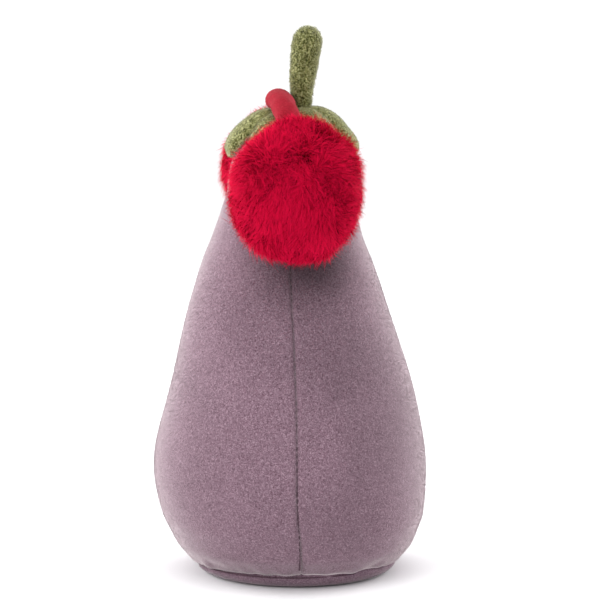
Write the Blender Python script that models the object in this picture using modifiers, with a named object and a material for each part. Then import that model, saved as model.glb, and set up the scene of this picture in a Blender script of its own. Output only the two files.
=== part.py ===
"""Stuffed plush eggplant wearing a pair of earmuffs, standing on a weighted base.

Metres, +Z up.  The origin is on the floor, under the middle of the body.
The front of the toy looks along -X, its left ear is at -Y and its right ear at +Y.

How it is sewn: a front and a back body panel meet in one seam down each side, and
close on a round base panel.  Inside lie a pouch of pellets and the fibre filling.
On the crown sit six leaves, each an upper and an under layer, round a stuffed
stem.  A stuffed headband crosses the crown in front of the stem and ends in two
fur balls.
"""

import math

import bmesh
import bpy
from mathutils import Vector

MM = 0.001

# ---------------------------------------------------------------- dimensions
HEIGHT = 170.0  # floor to the tip of the stem
FLAT_R = 26.0  # flat foot that the toy stands on
GAP = 0.35  # clearance between pieces that touch
SEAM = 1.0  # opening between two panels, which holds the stitching
THREAD = 0.4  # thickness of the sewing thread
PLUSH = 1.8  # body fabric with its pile

# Outline of the body, from the floor to the crown: (height, radius).
FOOT_OUTLINE = [(0.0, FLAT_R), (0.25, 27.8), (0.85, 29.4), (1.7, 30.7), (2.65, 31.7)]
BODY_OUTLINE = [
    (9.0, 37.7),
    (18.5, 41.3),
    (29.0, 42.7),
    (39.0, 42.2),
    (54.0, 38.7),
    (70.0, 34.5),
    (85.0, 30.2),
    (97.0, 26.3),
    (104.5, 23.2),
    (112.0, 20.8),
]
CROWN_Z, CROWN_R, CROWN_H, CROWN_POWER = 121.5, 19.3, 18.5, 2.3
# Sideways set of the stuffed body at each height: it leans a little.
BODY_LEAN = [(0, 1.2), (14, 0.8), (30, 0.0), (62, 0.0), (84, -0.9), (100, -1.1), (113, -0.5), (126, 0.5), (142, 0.55)]

# Stem
STEM_FOOT = 141.2
STEM_OUTLINE = [(0.0, 2.35), (5.6, 2.4), (8.0, 3.1), (10.8, 4.0), (17.0, 4.4), (22.5, 4.75)]
STEM_LEAN = [(138, 3.95), (148.5, 3.85), (152.5, 3.3), (158, 3.85), (165, 4.9), (171, 5.3)]
STEM_PLUSH = 1.1

# Leaves
LEAF_HALF = 6.9
LEAF_UNDER, LEAF_UPPER = 0.9, 1.0
# Line along the top of a leaf, from its root to its tip: (distance from the middle, height).
LEAF_LINE = [(3.0, 144.6), (5.5, 145.0), (8.5, 145.0), (11.5, 143.9), (14.5, 141.8), (17.3, 138.9), (19.5, 135.9), (20.8, 133.0), (21.3, 130.2)]
# The same under the headband, which presses it down.
LEAF_LINE_PRESSED = [(3.0, 143.3), (8.0, 143.1), (11.0, 142.4), (13.5, 141.3), (16.0, 139.6), (18.0, 137.6), (19.8, 135.2), (21.0, 132.6), (21.3, 130.2)]
# direction in degrees, distance of the root from the crown's middle, puff, pressed
LEAVES = [
    ("leaf_back", 0, 7.4, 1.5, False),
    ("leaf_back_right", 60, 5.4, 1.2, False),
    ("leaf_front_right", 120, 3.8, 0.4, True),
    ("leaf_front", 180, 8.8, 1.3, False),
    ("leaf_front_left", 240, 3.8, 0.4, True),
    ("leaf_back_left", 300, 5.4, 1.2, False),
]

# Headband
BAND_W, BAND_T = 8.4, 6.2
BAND_TOP = 147.4
BAND_REACH = 29.5
BAND_X_TOP, BAND_X_SIDE = -3.7, 0.2
BAND_PLUSH = 0.9

# Fur balls
BALL_OUT, BALL_Z = 39.3, 122.9
BALL_X = {-1: 0.2, 1: -0.7}  # the left and the right ball
BALL_R = (19.7, 17.2, 22.2)
FUR = 8.0  # backing and pile together
BALL_HOLE_R = 3.0  # where the round of fur is gathered shut


# ---------------------------------------------------------------- helpers
def table(rows, at):
    """Smooth value through the rows (place, value)."""
    if at <= rows[0][0]:
        return rows[0][1]
    if at >= rows[-1][0]:
        return rows[-1][1]
    i = max(k for k in range(len(rows) - 1) if rows[k][0] <= at)
    x0, y0 = rows[i]
    x1, y1 = rows[i + 1]
    before = rows[i - 1] if i else rows[i]
    after = rows[i + 2] if i + 2 < len(rows) else rows[i + 1]
    m0 = (y1 - before[1]) / (x1 - before[0]) if x1 != before[0] else 0.0
    m1 = (after[1] - y0) / (after[0] - x0) if after[0] != x0 else 0.0
    h = x1 - x0
    t = (at - x0) / h
    return (
        y0 * (2 * t**3 - 3 * t**2 + 1)
        + m0 * h * (t**3 - 2 * t**2 + t)
        + y1 * (3 * t**2 - 2 * t**3)
        + m1 * h * (t**3 - t**2)
    )


def through(points, count):
    """Evenly spaced points on a smooth line through the given 2D points."""
    fine = []
    for i in range(len(points) - 1):
        a = points[i - 1] if i else points[i]
        b, c = points[i], points[i + 1]
        d = points[i + 2] if i + 2 < len(points) else points[i + 1]
        for k in range(24):
            t = k / 24
            fine.append(
                tuple(
                    0.5
                    * (
                        2 * b[j]
                        + (c[j] - a[j]) * t
                        + (2 * a[j] - 5 * b[j] + 4 * c[j] - d[j]) * t * t
                        + (3 * b[j] - a[j] - 3 * c[j] + d[j]) * t**3
                    )
                    for j in range(2)
                )
            )
    fine.append(points[-1])
    along = [0.0]
    for p, q in zip(fine, fine[1:]):
        along.append(along[-1] + math.dist(p, q))
    found, k = [], 0
    for n in range(count):
        want = along[-1] * n / (count - 1)
        while k < len(fine) - 2 and along[k + 1] < want:
            k += 1
        share = (want - along[k]) / max(along[k + 1] - along[k], 1e-9)
        found.append(tuple(fine[k][j] + (fine[k + 1][j] - fine[k][j]) * share for j in range(2)))
    return found


def crown_z(r):
    """Height of the crown at a distance from its middle."""
    share = min(1.0, max(0.0, r / CROWN_R))
    return CROWN_Z + CROWN_H * (1 - share**CROWN_POWER) ** (1 / CROWN_POWER)


def crown_line(count=60):
    """(r, z) from the top of the crown down its side to where it stands upright."""
    found = []
    for i in range(count + 1):
        a = math.pi / 2 * i / count
        s, c = math.sin(a), math.cos(a)
        found.append((CROWN_R * s ** (2 / CROWN_POWER), CROWN_Z + CROWN_H * max(c, 0.0) ** (2 / CROWN_POWER)))
    return found


def outline():
    """The body's whole outline as (r, z), from the middle of the crown down to the base seam."""
    side = [(r, z) for z, r in BODY_OUTLINE]
    crown = [(r, z) for r, z in crown_line(12)]
    return crown[:-1] + [(CROWN_R + 0.02, CROWN_Z - 1.5)] + side[::-1]


def inward(line, by):
    """A (r, z) line that runs down the outer side, moved into the solid."""
    moved = []
    for i, (r, z) in enumerate(line):
        r0, z0 = line[max(i - 1, 0)]
        r1, z1 = line[min(i + 1, len(line) - 1)]
        dr, dz = r1 - r0, z1 - z0
        size = math.hypot(dr, dz)
        moved.append((max(r + dz / size * by, 0.0), z - dr / size * by))
    return moved


def make_material(name, colour, roughness):
    material = bpy.data.materials.new(name)
    material.use_nodes = True
    shader = material.node_tree.nodes["Principled BSDF"]
    shader.inputs["Base Color"].default_value = (*colour, 1)
    shader.inputs["Roughness"].default_value = roughness
    shader.inputs["Metallic"].default_value = 0.0
    shader.inputs["Sheen Weight"].default_value = 0.5
    return material


def clear_scene():
    for old in list(bpy.data.objects):
        bpy.data.objects.remove(old, do_unlink=True)


def new_object(name, mesh, into, material=None):
    thing = bpy.data.objects.new(name, mesh)
    into.objects.link(thing)
    if material:
        thing.data.materials.append(material)
    return thing


def frozen(thing):
    """Replaces an object's modifiers, or a curve, by the mesh they make."""
    bpy.context.view_layer.update()
    graph = bpy.context.evaluated_depsgraph_get()
    mesh = bpy.data.meshes.new_from_object(thing.evaluated_get(graph), depsgraph=graph)
    name, material, place = thing.name, thing.data.materials[0] if thing.data.materials else None, thing.matrix_world.copy()
    into = thing.users_collection[0]
    bpy.data.objects.remove(thing, do_unlink=True)
    mesh.materials.clear()
    work = bmesh.new()
    work.from_mesh(mesh)
    bmesh.ops.remove_doubles(work, verts=work.verts, dist=0.00001)
    bmesh.ops.recalc_face_normals(work, faces=work.faces)
    work.to_mesh(mesh)
    work.free()
    again = new_object(name, mesh, into, material)
    again.matrix_world = place
    return again


def turned(name, line, material, into, angle=math.tau, steps=40, start=0.0, wall=0.0):
    """A (r, z) line in millimetres, top to bottom, turned about Z."""
    mesh = bpy.data.meshes.new(name)
    points = [(r * MM * math.cos(start), r * MM * math.sin(start), z * MM) for r, z in line]
    mesh.from_pydata(points, [(i, i + 1) for i in range(len(points) - 1)], [])
    thing = new_object(name, mesh, into, material)
    screw = thing.modifiers.new("turn", "SCREW")
    screw.angle = angle
    screw.steps = screw.render_steps = steps
    screw.axis = "Z"
    screw.use_merge_vertices = True
    screw.merge_threshold = 0.00002
    screw.use_smooth_shade = True
    if wall:
        shell = thing.modifiers.new("wall", "SOLIDIFY")
        shell.thickness = wall * MM
        shell.offset = -1
        shell.use_even_offset = True
    return thing


def set_over(thing, lean, also=0.0):
    """Moves each point sideways by the lean at its height."""
    for v in thing.data.vertices:
        v.co.x += (table(lean, v.co.z / MM) + also) * MM


def finish(thing, angle=40):
    thing.data.shade_smooth()
    thing.data.set_sharp_from_angle(angle=math.radians(angle))
    return thing


def tube(name, points, radius, material, into, caps=True, sides=2, closed=False):
    curve = bpy.data.curves.new(name, "CURVE")
    curve.dimensions = "3D"
    curve.bevel_depth = radius * MM
    curve.bevel_resolution = sides
    curve.use_fill_caps = caps and not closed
    line = curve.splines.new("POLY")
    line.points.add(len(points) - 1)
    for p, co in zip(line.points, points):
        p.co = (*[c * MM for c in co], 1)
    line.use_cyclic_u = closed
    thing = new_object(name, curve, into, material)
    return thing


# ---------------------------------------------------------------- body
def body_pieces(into, purple, white, cloth, pellets, thread):
    line = through(outline(), 20)
    # The base seam lies half a seam's width below the panels' lower edge.
    top_of_foot = FOOT_OUTLINE[-1]
    full = line[:-1] + [(r, z) for r, z in through([(line[-1][0], line[-1][1]), (35.9, 6.9), (34.2, 5.0), (32.5, 3.25)], 3)]
    panels = []
    for name, start, shift in (("body_front_panel", math.pi / 2, -SEAM / 2), ("body_back_panel", -math.pi / 2, SEAM / 2)):
        panel = turned(name, [(max(r - 0.25, 0.0), z) for r, z in full], purple, into, math.pi, 16, start, PLUSH)
        panel = frozen(panel)
        set_over(panel, BODY_LEAN, shift)
        panels.append(finish(panel, 50))

    foot = through([(r, z) for z, r in FOOT_OUTLINE][::-1], 7)
    foot = [(r - 0.1, z - 0.05) for r, z in foot[:-1]] + [(FLAT_R, 0.0), (FLAT_R * 0.5, 0.0), (0.0, 0.0)]
    base = frozen(turned("base_panel", foot, purple, into, math.tau, 32, 0.0, PLUSH))
    set_over(base, BODY_LEAN)
    for v in base.data.vertices:  # the foot stays flat on the floor
        if abs(v.co.z) < 0.00002:
            v.co.z = 0.0
    finish(base, 50)

    # Fibre filling: the panels' inner face, hollowed below for the pellet pouch.
    inner = inward(full, PLUSH + GAP + 0.15)
    inner = [(r, z) for r, z in inner if r > 0.6 and z > 9.5]
    inner = [(0.0, inner[0][1] + 0.02)] + inner
    under = [(33.4, 7.6), (30.6, 7.4), (30.4, 10.0), (24.0, 13.4), (12.0, 15.4), (0.0, 15.9)]
    filling = frozen(turned("body_filling", inner + under, white, into, math.tau, 22))
    set_over(filling, BODY_LEAN)
    finish(filling)

    # Pellet pouch: two rounds of cloth sewn at the rim, and the pellets as one mass.
    upper = through([(0.0, 15.2), (12.0, 14.7), (22.5, 12.6), (29.0, 8.9)], 6)
    lower = through([(29.2, 8.1), (27.6, 5.2), (24.5, 3.1), (20.0, 2.25)], 4) + [(10.0, 2.25), (0.0, 2.25)]
    pouch_up = frozen(turned("pellet_pouch_upper", upper, cloth, into, math.tau, 20, 0.0, 0.5))
    pouch_low = frozen(turned("pellet_pouch_lower", lower, cloth, into, math.tau, 20, 0.0, 0.5))
    mass = [(0.0, 14.2)] + inward(upper, 0.5 + GAP)[1:-1] + [(27.4, 8.4)] + inward(lower, 0.5 + GAP)[1:-2] + [(10.0, 3.15), (0.0, 3.15)]
    lump = frozen(turned("pellet_fill", mass, pellets, into, math.tau, 20))
    for thing in (pouch_up, pouch_low, lump):
        set_over(thing, BODY_LEAN)
        finish(thing)

    # Stitching: one thread up each side seam and one round the base seam, half-way through the fabric.
    middle = inward(full, 0.85)
    for name, side in (("side_seam_thread_left", -1), ("side_seam_thread_right", 1)):
        points = [(table(BODY_LEAN, z), side * r, z) for r, z in middle if r > 0.9 and z > 6.0]
        thing = frozen(tube(name, points, THREAD / 2, thread, into, sides=1))
        finish(thing, 60)
    ring_r, ring_z = 31.3, 3.55
    points = [
        (table(BODY_LEAN, ring_z) + ring_r * math.cos(math.tau * i / 48), ring_r * math.sin(math.tau * i / 48), ring_z)
        for i in range(48)
    ]
    finish(frozen(tube("base_seam_thread", points, THREAD / 2, thread, into, sides=1, closed=True)), 60)


# ---------------------------------------------------------------- stem
def stem_pieces(into, green, white):
    body = [(r, STEM_FOOT + s) for s, r in STEM_OUTLINE]
    tip_z = STEM_FOOT + STEM_OUTLINE[-1][0]
    tip_h = HEIGHT - tip_z
    tip_r = STEM_OUTLINE[-1][1]
    dome = [(tip_r * math.cos(math.pi / 2 * i / 7), tip_z + tip_h * math.sin(math.pi / 2 * i / 7)) for i in range(1, 8)]
    dome[-1] = (0.0, HEIGHT)
    line = dome[::-1] + through(body, 9)[::-1]
    for name, start, shift in (("stem_front_panel", math.pi / 2, -GAP), ("stem_back_panel", -math.pi / 2, GAP)):
        half = frozen(turned(name, line, green, into, math.pi, 8, start, STEM_PLUSH))
        set_over(half, STEM_LEAN, shift)
        finish(half, 50)
    core = inward(line, STEM_PLUSH + GAP)
    core = [(r, z) for r, z in core if r > 0.25]
    core = [(0.0, core[0][1])] + core + [(0.0, core[-1][1])]
    filling = frozen(turned("stem_filling", core, white, into, math.tau, 16))
    set_over(filling, STEM_LEAN)
    finish(filling)


# ---------------------------------------------------------------- leaves
def crown_room(r, z):
    """How far, roughly, a point lies outside the body's rounded crown."""
    level = max(z - CROWN_Z, 0.0)
    reach = ((r / CROWN_R) ** CROWN_POWER + (level / CROWN_H) ** CROWN_POWER) ** (1 / CROWN_POWER)
    return (reach - 1) * math.hypot(r, level)


def leaf_pieces(into, green, pale):
    for name, degrees, root, puff, pressed in LEAVES:
        line = through(LEAF_LINE_PRESSED if pressed else LEAF_LINE, 200)
        line = [(r, z) for r, z in line if r >= root or z < 140.0]

        def place(share, inwards):
            """(r, z) a share of the way along the leaf's line, and in from it."""
            at = share * (len(line) - 1)
            k = min(int(at), len(line) - 2)
            (r0, z0), (r1, z1) = line[k], line[k + 1]
            size = math.hypot(r1 - r0, z1 - z0)
            return (
                r0 + (r1 - r0) * (at - k) + (z1 - z0) / size * inwards,
                z0 + (z1 - z0) * (at - k) - (r1 - r0) / size * inwards,
            )

        for layer, colour, wall in (("under", pale, LEAF_UNDER), ("upper", green, LEAF_UPPER)):
            work = bmesh.new()
            bmesh.ops.create_grid(work, x_segments=8, y_segments=4, size=1.0)
            for v in work.verts:
                u, side = (v.co.x + 1) / 2, v.co.y
                u = 1 - (1 - u) ** 1.25
                r, _ = place(u, 0.0)
                half = min(0.44 * r, LEAF_HALF)
                if u > 0.5:
                    half *= max(0.2, 1 - ((u - 0.5) / 0.5) ** 2.4) ** 0.75
                swell = (1 - abs(side) ** 2.2) * math.sin(math.pi * min(1.0, 0.12 + 0.88 * u)) ** 0.6
                # the lining lies on the crown, never in it
                deep = puff + LEAF_UPPER + GAP
                while crown_room(*place(u, deep + LEAF_UNDER)) < 2 * GAP:
                    deep -= 0.05
                inwards = deep
                if layer == "upper":
                    inwards = min(puff * (1 - max(swell, 0.0)), deep - LEAF_UPPER - GAP)
                r, z = place(u, inwards)
                turn = math.radians(degrees) + side * half / max(r, 1.0)
                middle = table(BODY_LEAN, z)
                v.co = Vector(((middle + r * math.cos(turn)) * MM, r * math.sin(turn) * MM, z * MM))
            work.normal_update()
            if sum(f.normal.z for f in work.faces) < 0:
                bmesh.ops.reverse_faces(work, faces=work.faces)
            mesh = bpy.data.meshes.new(f"{name}_{layer}")
            work.to_mesh(mesh)
            work.free()
            thing = new_object(f"{name}_{layer}", mesh, into, colour)
            shell = thing.modifiers.new("wall", "SOLIDIFY")
            shell.thickness = wall * MM
            shell.offset = -1
            shell.use_even_offset = True
            finish(thing, 60)


# ---------------------------------------------------------------- headband and fur balls
def band_line(count=19):
    """The headband's middle line, from the left ball over the crown to the right ball."""
    points = []
    for i in range(count):
        a = math.pi * (-0.44 + 0.88 * i / (count - 1))
        s, c = math.sin(a), math.cos(a)
        y = BAND_REACH * math.copysign(abs(s) ** (2 / CROWN_POWER), s)
        z = CROWN_Z + (BAND_TOP - CROWN_Z) * c ** (2 / CROWN_POWER)
        x = BAND_X_TOP + (BAND_X_SIDE - BAND_X_TOP) * min(1.0, abs(y) / BAND_REACH) ** 1.6
        points.append((x, y, z))
    return points


def band(name, width, thick, material, into, guides, caps=True):
    section = bpy.data.curves.new(name + "_section", "CURVE")
    section.dimensions = "2D"
    ring = section.splines.new("POLY")
    ring.points.add(11)
    for k, p in enumerate(ring.points):
        a = math.tau * k / 12
        p.co = (math.cos(a) * width / 2 * MM, math.sin(a) * thick / 2 * MM, 0, 1)
    ring.use_cyclic_u = True
    guide = bpy.data.objects.new(name + "_section", section)
    guides.objects.link(guide)
    guide.hide_render = True
    guide.display_type = "WIRE"
    thing = tube(name, band_line(), 0.0, material, into, caps)
    thing.data.bevel_mode = "OBJECT"
    thing.data.bevel_object = guide
    thing.data.use_fill_caps = caps
    return thing


def earmuff_pieces(into, guides, velour, white, fur):
    cover = band("headband_cover", BAND_W, BAND_T, velour, into, guides, caps=False)
    wall = cover.modifiers.new("wall", "SOLIDIFY")
    wall.thickness = BAND_PLUSH * MM
    wall.offset = 1
    cover = finish(frozen(cover), 50)
    core = band("headband_filling", BAND_W - 2 * (BAND_PLUSH + GAP), BAND_T - 2 * (BAND_PLUSH + GAP), white, into, guides)
    finish(frozen(core), 50)

    # What each ball leaves clear round the end of the headband.
    sleeve = frozen(band("headband_room", BAND_W + 2 * GAP, BAND_T + 2 * GAP, None, guides, guides))
    # a little longer than the band at each end
    sleeve.hide_render = True
    sleeve.display_type = "WIRE"
    stretch = band_line()
    for v in sleeve.data.vertices:
        if v.co.z < (stretch[0][2] + 0.5) * MM:
            v.co.z -= GAP * MM
            v.co.y += math.copysign(GAP * 0.4 * MM, v.co.y)

    for side, name in ((-1, "pompom_left"), (1, "pompom_right")):
        centre = Vector((BALL_X[side], side * BALL_OUT, BALL_Z)) * MM

        def ball(ball_name, less, material, collection, rings, sectors):
            work = bmesh.new()
            bmesh.ops.create_uvsphere(work, u_segments=sectors, v_segments=rings, radius=1.0)
            for v in work.verts:
                v.co = Vector([centre[k] + v.co[k] * (BALL_R[k] - less) * MM for k in range(3)])
            mesh = bpy.data.meshes.new(ball_name)
            work.to_mesh(mesh)
            work.free()
            return new_object(ball_name, mesh, collection, material)

        cover = ball(name + "_cover", 0.0, fur, into, 12, 22)
        hollow = ball(name + "_hollow", FUR, None, guides, 8, 14)
        bpy.ops.mesh.primitive_cylinder_add(
            vertices=14,
            radius=BALL_HOLE_R * MM,
            depth=14 * MM,
            location=centre + Vector((0, -side * 14.0 * MM, -2.0 * MM)),
            rotation=(math.pi / 2, 0, 0),
        )
        hole = bpy.context.object
        hole.name = name + "_gather"
        for owner in list(hole.users_collection):
            owner.objects.unlink(hole)
        guides.objects.link(hole)
        for cutter in (hollow, hole):
            cutter.hide_render = True
            cutter.display_type = "WIRE"
        for cutter in (hollow, hole, sleeve):
            cut = cover.modifiers.new("cut", "BOOLEAN")
            cut.operation = "DIFFERENCE"
            cut.object = cutter
        finish(cover, 60)
        filling = ball(name + "_filling", FUR + GAP, white, into, 8, 14)
        cut = filling.modifiers.new("cut", "BOOLEAN")
        cut.operation = "DIFFERENCE"
        cut.object = sleeve
        finish(filling, 60)


def main():
    clear_scene()
    scene = bpy.context.scene
    parts = bpy.data.collections.new("plush_eggplant")
    guides = bpy.data.collections.new("guides")
    scene.collection.children.link(parts)
    scene.collection.children.link(guides)

    purple = make_material("purple_plush", (0.31, 0.20, 0.27), 0.95)
    green = make_material("green_plush", (0.20, 0.24, 0.09), 0.95)
    pale = make_material("pale_green_plush", (0.31, 0.33, 0.16), 0.95)
    velour = make_material("red_velour", (0.55, 0.06, 0.07), 0.9)
    fur = make_material("red_fur", (0.55, 0.004, 0.035), 0.85)
    white = make_material("fibre_filling", (0.85, 0.85, 0.83), 1.0)
    cloth = make_material("pouch_cloth", (0.78, 0.76, 0.72), 0.9)
    pellets = make_material("pellets", (0.8, 0.8, 0.8), 0.5)
    thread = make_material("thread", (0.09, 0.05, 0.08), 0.8)

    body_pieces(parts, purple, white, cloth, pellets, thread)
    stem_pieces(parts, green, white)
    leaf_pieces(parts, green, pale)
    earmuff_pieces(parts, guides, velour, white, fur)


main()
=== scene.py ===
"""Looks for the stuffed plush eggplant with earmuffs.  Metres, +Z up, the CAD frame."""

import math

import bpy
import numpy as np
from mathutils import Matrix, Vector


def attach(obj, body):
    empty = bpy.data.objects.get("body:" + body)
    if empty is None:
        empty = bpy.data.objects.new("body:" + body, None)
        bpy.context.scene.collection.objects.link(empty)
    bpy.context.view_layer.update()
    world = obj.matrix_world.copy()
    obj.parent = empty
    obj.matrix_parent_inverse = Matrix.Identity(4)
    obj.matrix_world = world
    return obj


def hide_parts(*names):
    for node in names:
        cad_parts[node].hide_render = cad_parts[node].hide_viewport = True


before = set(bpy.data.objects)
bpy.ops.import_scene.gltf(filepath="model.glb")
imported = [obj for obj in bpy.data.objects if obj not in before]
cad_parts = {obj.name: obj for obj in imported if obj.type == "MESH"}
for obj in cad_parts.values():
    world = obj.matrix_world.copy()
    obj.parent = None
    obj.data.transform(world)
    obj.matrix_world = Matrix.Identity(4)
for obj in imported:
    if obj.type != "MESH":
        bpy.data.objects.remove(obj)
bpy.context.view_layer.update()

MM = 0.001
THIN = 1.0  # share of the pile that is made

# ------------------------------------------------------------------ measures, as in the CAD
BODY_OUTLINE = [
    (3.2, 31.6), (4.9, 33.2), (6.9, 35.1), (9.0, 36.9), (13.3, 39.0), (18.5, 41.1), (29.0, 42.6), (39.0, 42.2), (54.0, 38.9),
    (70.0, 34.8), (85.0, 30.5), (97.0, 26.5), (104.5, 23.3), (112.0, 20.8),
]
CROWN_Z, CROWN_R, CROWN_H, CROWN_POWER = 121.5, 19.3, 18.5, 2.3
BODY_LEAN = [(0, 1.8), (5, 1.7), (14, 1.1), (30, 0.0), (62, 0.0), (84, -0.9), (100, -1.1), (113, -0.5), (126, 0.5), (142, 0.55)]
STEM_LEAN = [(138, 3.95), (143, 3.75), (149, 3.45), (155, 3.85), (160, 4.5), (165, 5.15), (171, 5.45)]
STEM_SIZE = [(140.5, 3.0), (143.0, 2.6), (147.0, 2.95), (151.0, 3.4), (155.0, 3.75), (160.0, 4.15), (166.0, 4.4)]
BAND_TOP, BAND_REACH = 147.4, 29.5
BAND_X_TOP, BAND_X_SIDE = -3.7, 0.2


def table(rows, at):
    """Smooth values through the rows (place, value), at an array of places."""
    xs = np.array([r[0] for r in rows], float)
    ys = np.array([r[1] for r in rows], float)
    m = np.zeros(len(xs))
    m[1:-1] = (ys[2:] - ys[:-2]) / (xs[2:] - xs[:-2])
    m[0] = (ys[1] - ys[0]) / (xs[1] - xs[0])
    m[-1] = (ys[-1] - ys[-2]) / (xs[-1] - xs[-2])
    at = np.clip(np.asarray(at, float), xs[0], xs[-1])
    i = np.clip(np.searchsorted(xs, at, side="right") - 1, 0, len(xs) - 2)
    h = xs[i + 1] - xs[i]
    t = (at - xs[i]) / h
    return (
        ys[i] * (2 * t**3 - 3 * t**2 + 1) + m[i] * h * (t**3 - 2 * t**2 + t)
        + ys[i + 1] * (3 * t**2 - 2 * t**3) + m[i + 1] * h * (t**3 - t**2)
    )


def smooth_step(x):
    x = np.clip(x, 0, 1)
    return x * x * (3 - 2 * x)


def unit(a):
    return a / np.maximum(np.linalg.norm(a, axis=-1, keepdims=True), 1e-12)


class Waves:
    """Smooth seeded noise in space, from a sum of sines.  About -1 to 1."""

    def __init__(self, seed, size, count=14):
        rng = np.random.default_rng(seed)
        self.k = unit(rng.normal(size=(count, 3))) * (math.tau / size) * rng.uniform(0.6, 1.6, (count, 1))
        self.p = rng.uniform(0, math.tau, count)
        self.n = count

    def __call__(self, P):
        return np.sin(np.asarray(P) @ self.k.T + self.p).sum(-1) * (1.4 / math.sqrt(self.n))


# ------------------------------------------------------------------ meshes
def mesh_piece(name, V, faces, uv=None, normals=None, smooth=True):
    """A mesh object from arrays: V in millimetres, faces a list of (n, k) index arrays."""
    me = bpy.data.meshes.new(name)
    V = np.asarray(V, np.float64) * MM
    me.vertices.add(len(V))
    me.vertices.foreach_set("co", V.astype(np.float32).ravel())
    corners = np.concatenate([f.ravel() for f in faces]).astype(np.int32)
    counts = np.concatenate([np.full(len(f), f.shape[1]) for f in faces]).astype(np.int32)
    starts = np.concatenate([[0], np.cumsum(counts)[:-1]]).astype(np.int32)
    me.loops.add(len(corners))
    me.loops.foreach_set("vertex_index", corners)
    me.polygons.add(len(counts))
    me.polygons.foreach_set("loop_start", starts)
    me.update(calc_edges=True)
    if uv is not None:
        layer = me.uv_layers.new(name="OFBake")
        layer.uv.foreach_set("vector", np.asarray(uv, np.float32)[corners].ravel())
    me.polygons.foreach_set("use_smooth", np.full(len(counts), smooth))
    if normals is not None:
        me.normals_split_custom_set_from_vertices([tuple(n) for n in normals])
    me.update()
    ob = bpy.data.objects.new(name, me)
    bpy.context.scene.collection.objects.link(ob)
    return ob


def grid_faces(rows, cols, wrap=False, flip=False, start=0):
    i, j = np.meshgrid(np.arange(rows - 1), np.arange(cols if wrap else cols - 1), indexing="ij")
    a = i * cols + j
    b = i * cols + (j + 1) % cols
    c = (i + 1) * cols + (j + 1) % cols
    d = (i + 1) * cols + j
    f = np.stack([a, b, c, d], -1).reshape(-1, 4) + start
    return f[:, ::-1] if flip else f


def vertex_normals(V, faces):
    N = np.zeros_like(V)
    for f in faces:
        a, b, c = V[f[:, 0]], V[f[:, 1]], V[f[:, -1]]
        n = np.cross(b - a, c - a)
        if f.shape[1] == 4:
            n = n + np.cross(V[f[:, 2]] - V[f[:, 1]], V[f[:, 3]] - V[f[:, 1]])
        for k in range(f.shape[1]):
            np.add.at(N, f[:, k], n)
    return unit(N)


def scatter(V, faces, N, uv, count, rng, weight=None):
    """Random points on a mesh: place, normal and map place of each."""
    tris = np.concatenate([f if f.shape[1] == 3 else np.concatenate([f[:, [0, 1, 2]], f[:, [0, 2, 3]]]) for f in faces])
    A, B, C = V[tris[:, 0]], V[tris[:, 1]], V[tris[:, 2]]
    area = np.linalg.norm(np.cross(B - A, C - A), axis=1)
    if weight is not None:
        area = area * weight((A + B + C) / 3)
    pick = rng.choice(len(tris), size=count, p=area / area.sum())
    r1, r2 = np.sqrt(rng.random(count)), rng.random(count)
    w = np.stack([1 - r1, r1 * (1 - r2), r1 * r2], -1)[:, :, None]
    t = tris[pick]
    return (V[t] * w).sum(1), unit((N[t] * w).sum(1)), (uv[t] * w).sum(1)


def pile(name, source, count, length, width, nap, lean, seed, material, body="root", wild=0.3, soft=0.75, weight=None, tufts=None):
    """Short pile: one thin blade for each tuft of fibre, leaning with the nap."""
    V, faces, N, uv = source
    rng = np.random.default_rng(seed)
    count = int(count * THIN)
    P, Q, T = scatter(V, faces, N, uv, count, rng, weight)
    want = nap(P) if callable(nap) else np.broadcast_to(np.asarray(nap, float), P.shape)
    want = want + rng.normal(size=P.shape) * wild
    along = unit(want - Q * (want * Q).sum(-1, keepdims=True))
    angle = np.clip(lean + rng.normal(size=count) * 0.16, 0.05, 1.45)[:, None]
    grow = unit(Q * np.cos(angle) + along * np.sin(angle))
    L = (length * rng.uniform(0.7, 1.15, count))[:, None]
    if tufts is not None:
        L = L * tufts(P)[:, None]
    aside = unit(np.cross(grow, Q) + rng.normal(size=P.shape) * 0.35)
    w = (width * rng.uniform(0.75, 1.2, count))[:, None] / 2
    root = P - Q * 0.12
    V2 = np.stack([root - aside * w, root + aside * w, root + grow * L], 1).reshape(-1, 3)
    n_root = unit(Q + rng.normal(size=P.shape) * (1 - soft) * 0.6)
    n_tip = unit(Q * soft + grow * (1 - soft) + rng.normal(size=P.shape) * (1 - soft) * 0.5)
    normals = np.stack([n_root, n_root, n_tip], 1).reshape(-1, 3)
    span = 0.0006
    UV = np.stack([T + [-span, -span], T + [span, -span], T + [0, span]], 1).reshape(-1, 2)
    F = np.arange(len(V2)).reshape(-1, 3)
    # blades face outwards
    fn = np.cross(V2[F[:, 1]] - V2[F[:, 0]], V2[F[:, 2]] - V2[F[:, 0]])
    back = (fn * Q).sum(-1) < 0
    F[back] = F[back][:, [1, 0, 2]]
    ob = mesh_piece(name, V2, [F], UV, normals)
    ob.data.materials.append(material)
    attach(ob, body)
    return ob


# ------------------------------------------------------------------ materials
def new_material(name):
    m = bpy.data.materials.new(name)
    m.use_nodes = True
    nt = m.node_tree
    return m, nt, nt.nodes["Principled BSDF"]


def node(nt, kind, **values):
    n = nt.nodes.new(kind)
    for k, v in values.items():
        if k in n.inputs:
            n.inputs[k].default_value = v
        else:
            setattr(n, k, v)
    return n


def noise(nt, coords, scale, detail=2.0, rough=0.5):
    n = node(nt, "ShaderNodeTexNoise")
    n.inputs["Scale"].default_value = scale
    n.inputs["Detail"].default_value = detail
    n.inputs["Roughness"].default_value = rough
    nt.links.new(coords, n.inputs["Vector"])
    return n.outputs["Fac"]


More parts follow.
